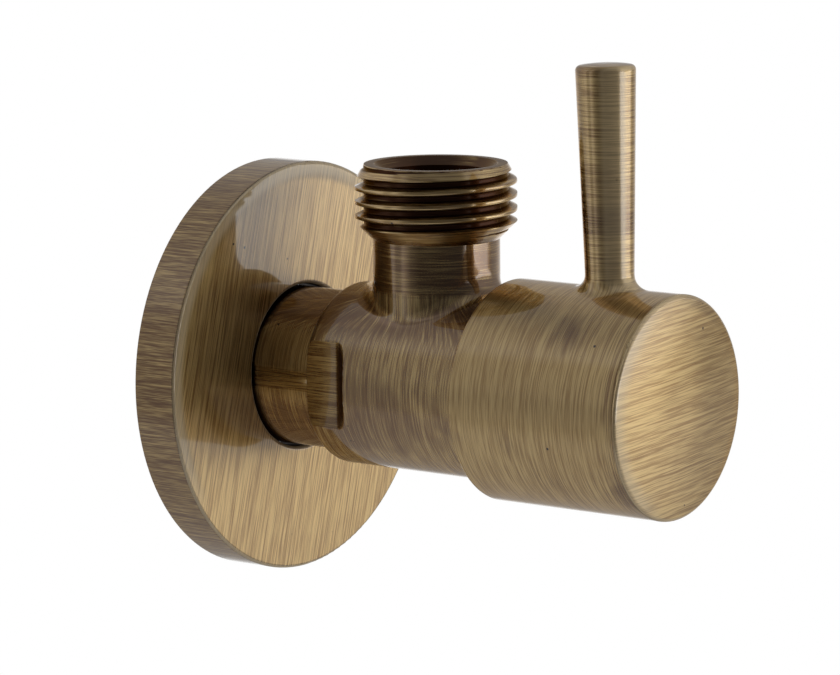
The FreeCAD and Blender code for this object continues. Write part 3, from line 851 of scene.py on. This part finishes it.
bodyLook = {
    "fine": 6000.0, "bend": 0.4, "cloudScale": 95.0, "cover": 0.42, "darkness": 0.30, "lineGain": 2.4,
    "streakGain": 0.7, "scratchDensity": 0.5, "scratchTone": 0.5, "pitScale": 420.0, "roughOxide": 0.22,
    "roughBare": 0.30, "roughLines": 0.10, "bump": 0.35, "bumpDepth": 0.02, "grain": 0.85,
    "turnRadius": 9.0,  # makes the angle round the outlet a length
}
flatZone = product(lookingSideways, along(1, -21.5, -20.5))
neckZone = along(1, -14.8, -14.2)
filletZone = product(along(2, 5.0, 8.5), along(2, 12.0, 10.5), facing(2, 0.25, 0.5))
bodyMaterial = agedBrass(
    "aged_brass_body",
    [dict(roundInlet, wear=0.56),
     dict(roundInlet, mask=neckZone, wear=1.15),
     dict(roundUpright, mask=flatZone, wear=0.62),
     {"turn": (0, 0, 0), "stretch": (1, 30, 30), "across": aroundOutlet, "space": outletSpace, "wear": 0.22,
      "mask": filletZone},
     dict(roundUpright, mask=along(2, 11.5, 13.0), wear=0.20),
     dict(roundUpright, mask=along(2, 18.7, 19.5), wear=0.80)],
    bodyLook,
    wearAndPaintedLightMaps=[
        (product(along(2, 4.0, 11.0), along(1, -42.0, -20.0)), -0.12),
        # Painted highlight on the upper parts that face towards -x
        (product(along(2, 9.0, 12.0), facing(0, -0.45, -0.8)), 0.18),
        # Painted shade on the neck's underside
        (product(neckZone, facing(2, 0.0, -0.5)), -0.95),
    ],
    hidden=along(1, -6.7, -5.9),  # behind the rosette: painted shade between the neck and the rosette
)
buildBody(bodySizes, bodyLayout, threadShape, bodyMaterial)
print("body built")

# Rosette

rosetteLook = {
    "fine": 6400.0, "bend": 0.3, "cloudScale": 60.0, "cover": 0.15, "darkness": 0.3, "lineGain": 2.4,
    "streakGain": 0.4, "scratchDensity": 0.4, "scratchTone": 0.3, "pitScale": 380.0, "roughOxide": 0.42,
    "roughBare": 0.46, "roughLines": 0.10, "bump": 0.35, "bumpDepth": 0.02, "grain": 0.9, "edgeRubAndHighlight": 0.6,
    # roll spans the bump's fall, rim the rim's painted highlight and hole the painted shade round the hole
    "rollDepth": 0.60, "roll": (23.6, 26.8), "rim": (24.6, 26.0), "hole": (11.35, 10.95),
}


# The upper left, where the rosette's rim takes a painted highlight and its roll-off
def upperLeft(tree, surface):
    x, y, z = surface["spot"]
    return spread(tree, calc(tree, "SUBTRACT", z, x), 2.0 * mm, 22.0 * mm)


def rosetteBend(tree, surface):
    # The face bends away in the first half of the roll and runs straight down in the second
    rise = reach(*rosetteLook["roll"])(tree, surface)
    bend = calc(tree, "MINIMUM", rise, 0.5)
    straight = calc(tree, "MAXIMUM", calc(tree, "SUBTRACT", rise, 0.5), 0.0)
    return calc(tree, "MULTIPLY_ADD", bend, bend, straight)


rosetteMaterial = agedBrass(
    "aged_brass_rosette",
    [{"turn": (0, 0, 0), "stretch": (1, 34, 1), "across": aroundAxis, "wear": 0.40},
     {"turn": (0, 15, 0), "stretch": (1, 60, 60), "across": (0.966, 0.0, -0.259), "wear": 0.86,
      "mask": frontZone}],
    rosetteLook,
    # Painted shade on the lip round the hole
    hidden=reach(*rosetteLook["hole"]),
    # Edges worn pale with a painted highlight, and a wider painted highlight round the rim's upper left
    edges=strongest(roundedEdge, product(reach(*rosetteLook["rim"]), frontFace, upperLeft)),
    rollOff=sunk(rosetteBend, upperLeft, frontFace),
)
print("rosette finish built")

# Handle

handleLook = {
    "fine": 6400.0, "bend": 0.35, "cloudScale": 75.0, "cover": 0.36, "darkness": 0.5, "lineGain": 2.0,
    "streakGain": 0.8, "scratchDensity": 0.4, "scratchTone": 0.3, "pitScale": 380.0, "roughOxide": 0.26,
    "roughBare": 0.32, "roughLines": 0.10, "bump": 0.35, "bumpDepth": 0.02, "grain": 0.9, "edgeRubAndHighlight": 0.4,
    # rim spans the face's painted highlight
    "rollDepth": 0.20, "roll": (11.9, 14.1), "rim": (11.0, 14.0), "dome": 2.7, "knobRadius": 14.1,
    "blotchScale": 150.0, "blotches": (0.25, 0.80),
}
knobOnly = reach(14.7, 14.35)  # not the lever


def blotches(tree, surface):
    clouds = noise(tree, surface["place"], handleLook["blotchScale"])
    return spread(tree, clouds, *handleLook["blotches"])


def knobDome(tree, surface):
    # The knob's face is a slight dome that falls off a little more at its rim
    rise = reach(*handleLook["roll"])(tree, surface)
    swell = reach(0.0, handleLook["knobRadius"])(tree, surface)
    dome = calc(tree, "MULTIPLY", calc(tree, "MULTIPLY", swell, swell), handleLook["dome"])
    return calc(tree, "MULTIPLY_ADD", rise, rise, dome)


handleMaterial = agedBrass(
    "aged_brass_handle",
    [dict(roundInlet, wear=1.08),
     {"turn": (0, -3.5, 0), "stretch": (50, 50, 1), "across": (0.0, 0.0, 1.0), "wear": 0.98,
      "mask": frontZone},
     dict(roundUpright, mask=along(2, 14.6, 16.0), wear=0.74)],
    handleLook,
    wearAndPaintedLightMaps=[
        (product(along(2, 20.5, 22.0), along(2, 26.0, 24.0)), -0.40),  # lever's middle
        (product(along(2, 6.5, 10.0), along(2, 13.2, 11.0), along(1, -46.0, -54.0), along(1, -66.0, -59.0),
                 roundSide, blotches), -0.55),  # knob's upper side
        (product(along(2, -4.5, -9.0), along(2, -13.2, -10.8), along(1, -46.0, -58.0),
                 roundSide, blotches), -0.55),  # knob's lower side
        (product(along(1, -61.5, -65.2), along(2, 15.0, 13.0), roundSide), -0.50),  # painted dark reflection in a band behind the front edge
    ],
    # Edges are worn pale with a painted highlight, and a painted highlight runs along the face's left edge
    edges=strongest(
        roundedEdge, product(reach(*handleLook["rim"]), frontFace, knobOnly, along(0, -3.0, -9.0))),
    rollOff=sunk(knobDome, knobOnly, frontFace),
)
print("handle finish built")

# What the valve holds inside

# Two colours, roughness, scale of the lines or the grain, and for what is moulded the bump
innerLooks = {
    "plain_brass": (((0.66, 0.49, 0.24), (0.80, 0.63, 0.34)), 0.18, 4200.0),
    "black_rubber": (((0.016, 0.016, 0.017), (0.034, 0.033, 0.032)), 0.42, 5200.0, 0.30),
    "white_ceramic": (((0.80, 0.79, 0.75), (0.88, 0.87, 0.84)), 0.08, 6400.0, 0.05),
    "white_plastic": (((0.74, 0.73, 0.69), (0.83, 0.82, 0.78)), 0.34, 3600.0, 0.15),
    "spring_steel": (((0.36, 0.36, 0.37), (0.56, 0.56, 0.57)), 0.22, 5200.0),
}


def turnedMetal(name, colours, rough, fine, streakMix=0.35, tones=(0.36, 0.64), toneRough=0.12, bump=0.2):
    material, tree, shader = startMaterial(name)
    spot = coordinates(tree)["Object"]
    brushed = place(tree, brushing, Vector=spot, Stretch=(40, 1, 40), Fine=fine, Bend=0.0)
    tone = spread(tree, mixValue(tree, streakMix, brushed["Lines"], brushed["Streaks"]), *tones)
    worn = place(tree, scratches, Vector=spot, Density=0.4)["Mask"]
    colour = mixColour(tree, calc(tree, "MAXIMUM", tone, worn), *colours)
    rough = addUp(tree, rough, (tone, toneRough))
    feedAll(tree, shader, {"Base Color": colour, "Metallic": 1.0, "Roughness": rough})
    addBump(tree, shader, brushed["Lines"], bump, depth=0.01)
    return material


def mouldedMaterial(name, colours, rough, grainScale, bump, broadShare=0.08, fineMix=0.4,
                    tones=(0.35, 0.65), fineRough=0.15):
    material, tree, shader = startMaterial(name)
    spot = coordinates(tree)["Object"]
    broad = noise(tree, spot, grainScale * broadShare)
    fine = noise(tree, spot, grainScale, detail=3.0, roughness=0.6)
    tone = spread(tree, mixValue(tree, fineMix, broad, fine), *tones)
    rough = addUp(tree, rough, (fine, fineRough))
    feedAll(tree, shader, {"Base Color": mixColour(tree, tone, *colours), "Roughness": rough})
    addBump(tree, shader, fine, bump, depth=0.02)
    return material


innerMaterials = {}
for name, look in innerLooks.items():
    makeMaterial = turnedMetal if len(look) == 3 else mouldedMaterial
    innerMaterials[name] = makeMaterial(name, *look)
outerMaterials = {"rosette": rosetteMaterial, "handle": handleMaterial, "body": bodyMaterial}
for subpart in frame["record"]["subparts"]:
    node, slotName = subpart["node"], subpart["material_slot"]
    dress = outerMaterials.get(node) or innerMaterials[slotName]
    for materialSlot in frame["nodes"][node].material_slots:
        materialSlot.material = dress
print("all pieces dressed")

# Stage, light and camera

studio = {
    "floorPlace": (0, -0.025, -0.15), "floorRadius": 0.42, "floorFade": (0.20, 0.4074), "floorTone": 0.60,
    "floorLift": 0.35, "floorShine": 0.15, "floorRough": 0.9, "floorGrain": (60.0, 0.02),
    "cameraSide": -53.19, "backdropFrom": (0.79, 0.59, -0.38), "backdropEdge": (0.90, 0.97),
    "zenith": 0.22, "nadir": 0.32,
    # Brightness round the room, as (degrees from the camera's side, level), at three heights
    "below": ((-180, 1.0), (-150, 0.70), (-120, 0.45), (-98, 0.48), (-84, 0.53), (-79, 0.26), (-69, 0.26),
              (-63, 0.48), (-50, 0.18), (-30, 0.08), (0, 0.06), (40, 0.09), (57, 0.28), (70, 0.42),
              (95, 0.52), (104, 0.62), (110, 0.56), (116, 0.42), (125, 0.40), (150, 0.70), (180, 1.0)),
    "band": ((-180, 0.85), (-150, 0.60), (-120, 0.35), (-100, 0.36), (-84, 0.50), (-79, 0.25), (-69, 0.25),
             (-64, 0.50), (-57, 0.30), (-48, 0.12), (-34, 0.05), (0, 0.04), (47, 0.06), (51, 0.45), (56, 2.1),
             (67, 2.3), (80, 2.1), (92, 1.8), (98, 1.7), (102, 1.5), (105, 0.95), (108, 0.45), (112, 0.30),
             (119, 0.40), (130, 0.42), (150, 0.65), (180, 0.85)),
    "above": ((-180, 0.40), (-98, 0.50), (-84, 0.54), (-79, 0.28), (-69, 0.28), (-63, 0.50), (-50, 0.16),
              (-30, 0.07), (20, 0.06), (50, 0.10), (58, 0.50), (92, 0.50), (100, 0.45), (108, 0.42),
              (120, 0.38), (180, 0.40)),
    # Heights between which one level goes over into the next, as parts of the way straight up or down
    "bandLow": (-0.195, -0.135), "bandHigh": (0.03, 0.12), "zenithFrom": (0.55, 1.0),
    "nadirFrom": (-0.42, -0.78),
    # The bright side of the band leans: it reaches further round the higher it is, in parts of a full turn
    "leanHeights": (-0.25, 0.0), "lean": (0.0135, -0.024), "leanPart": (0.68, 0.74),
}
lamps = {
    "front_lamp": {"place": (-0.5, -1.0, 0.6), "size": (0.7, 0.7), "radiance": 0.8},
    "top_lamp": {"place": (0.1, -0.1, 1.0), "size": (0.6, 0.6), "radiance": 0.8},
}
stageMiddle = Vector((0, -0.03, 0.0))  # metres
photoCamera = {
    "azimuth": -53.188, "elevation": 9.188, "roll": -0.535, "distance": 580.8, "target": (0.0, -25.42, 5.37),
    "focalPixels": 4488.3, "photoWidth": 840, "sensor": 36, "clip": (0.01, 20),
}


def levelRamp(tree, fraction, stops):
    made = addNode(tree, "ValToRGB", {0: fraction})
    elements = made.color_ramp.elements  # starts with one stop at 0 and one at 1
    highest = max(level for angle, level in stops)
    for angle, level in stops:
        ends = {-180: elements[0], 180: elements[-1]}
        element = ends[angle] if angle in ends else elements.new(angle / 360 + 0.5)
        element.color = (level / highest,) * 3 + (1.0,)
    return calc(tree, "MULTIPLY", made.outputs["Color"], highest)


def rayKinds(tree):
    # Camera rays, and those by which metal and glass see the room
    rays = addNode(tree, "LightPath", {}).outputs
    return rays["Is Camera Ray"], calc(tree, "MAXIMUM", rays["Is Glossy Ray"], rays["Is Transmission Ray"])


def buildRoom(values):
    world = bpy.data.worlds.new("studio")
    bpy.context.scene.world = world
    world.use_nodes = True
    tree = world.node_tree
    look = vectorCalc(tree, "NORMALIZE", coordinates(tree)["Generated"])
    x, y, z = parted(tree, look)
    angle = calc(tree, "ARCTAN2", x, calc(tree, "MULTIPLY", y, -1.0))
    turned = calc(tree, "MULTIPLY_ADD", angle, 1 / (2 * math.pi), 0.5 - values["cameraSide"] / 360)
    fraction = calc(tree, "FRACT", turned)
    lean = spread(tree, z, *values["leanHeights"], *values["lean"])
    lean = calc(tree, "MULTIPLY", lean, spread(tree, fraction, *values["leanPart"]))
    leaning = calc(tree, "FRACT", calc(tree, "ADD", fraction, lean))
    level = levelRamp(tree, fraction, values["below"])
    band = levelRamp(tree, leaning, values["band"])
    above = levelRamp(tree, fraction, values["above"])
    following = {"bandLow": band, "bandHigh": above,
                 "zenithFrom": values["zenith"], "nadirFrom": values["nadir"]}
    for heights, item in following.items():
        level = mixValue(tree, spread(tree, z, *values[heights]), level, item)
    # White to the camera, and where metal and glass show the backdrop
    seen, mirrored = rayKinds(tree)
    towards = vectorCalc(tree, "DOT_PRODUCT", look, Vector(values["backdropFrom"]).normalized())
    white = calc(tree, "MULTIPLY", mirrored, spread(tree, towards, *values["backdropEdge"]))
    background = tree.nodes["Background"]
    background.inputs["Color"].default_value = (1, 1, 1, 1)
    strength = mixValue(tree, calc(tree, "MAXIMUM", white, seen), level, 1.0)
    feed(tree, background.inputs["Strength"], strength)


def buildFloor(values):
    # A pale disc whose rim fades into the white background
    mesh = bpy.data.meshes.new("floor")
    work = bmesh.new()
    bmesh.ops.create_circle(work, cap_ends=True, segments=96, radius=values["floorRadius"])
    work.to_mesh(mesh)
    work.free()
    floor = addObject("floor", mesh)
    floor.location = values["floorPlace"]
    material, tree, shader = startMaterial("pale_floor")
    spot = coordinates(tree)["Object"]
    grainScale, grainDepth = values["floorGrain"]
    tone = addUp(tree, values["floorTone"], (noise(tree, spot, grainScale), grainDepth))
    seen, mirrored = rayKinds(tree)
    away = vectorCalc(tree, "LENGTH", spot)
    feedAll(tree, shader, {
        "Base Color": addNode(tree, "CombineColor", {0: tone, 1: tone, 2: tone}).outputs[0],
        "Roughness": values["floorRough"],
        "Emission Color": (1, 1, 1, 1),
        "Emission Strength": addUp(tree, 0.0, (seen, values["floorLift"]), (mirrored, values["floorShine"])),
        "Alpha": spread(tree, away, *values["floorFade"], 1.0, 0.0),
    })
    mesh.materials.append(material)


def buildLamps(allLamps):
    for name, values in allLamps.items():
        light = bpy.data.lights.new(name, "AREA")
        light.shape = "RECTANGLE"
        light.size, light.size_y = values["size"]
        light.energy = values["radiance"] * math.pi * values["size"][0] * values["size"][1]
        lamp = addObject(name, light)
        lamp.location = values["place"]
        lamp.rotation_mode = "QUATERNION"
        lamp.rotation_quaternion = (stageMiddle - lamp.location).to_track_quat("-Z", "Y")
        lamp.visible_glossy = False


def buildCamera(values):
    azimuth, elevation, roll = (math.radians(values[key]) for key in ("azimuth", "elevation", "roll"))
    level = Vector((math.sin(azimuth), -math.cos(azimuth), 0))
    back = level * math.cos(elevation) + Vector((0, 0, math.sin(elevation)))
    right = Vector((math.cos(azimuth), math.sin(azimuth), 0))
    up = back.cross(right)
    turnedRight = right * math.cos(roll) + up * math.sin(roll)
    turnedUp = up * math.cos(roll) - right * math.sin(roll)
    data = bpy.data.cameras.new("photo_camera")
    camera = addObject("photo_camera", data)
    rows = Matrix((turnedRight, turnedUp, back)).transposed().to_4x4()
    rows.translation = (Vector(values["target"]) + back * values["distance"]) * mm
    camera.matrix_world = rows
    data.sensor_width = values["sensor"]
    data.lens = values["focalPixels"] * values["sensor"] / values["photoWidth"]
    data.clip_start, data.clip_end = values["clip"]
    bpy.context.scene.camera = camera


buildRoom(studio)
buildFloor(studio)
buildLamps(lamps)
buildCamera(photoCamera)
bpy.context.scene.view_settings.view_transform = "Standard"
print("stage, light and camera ready")
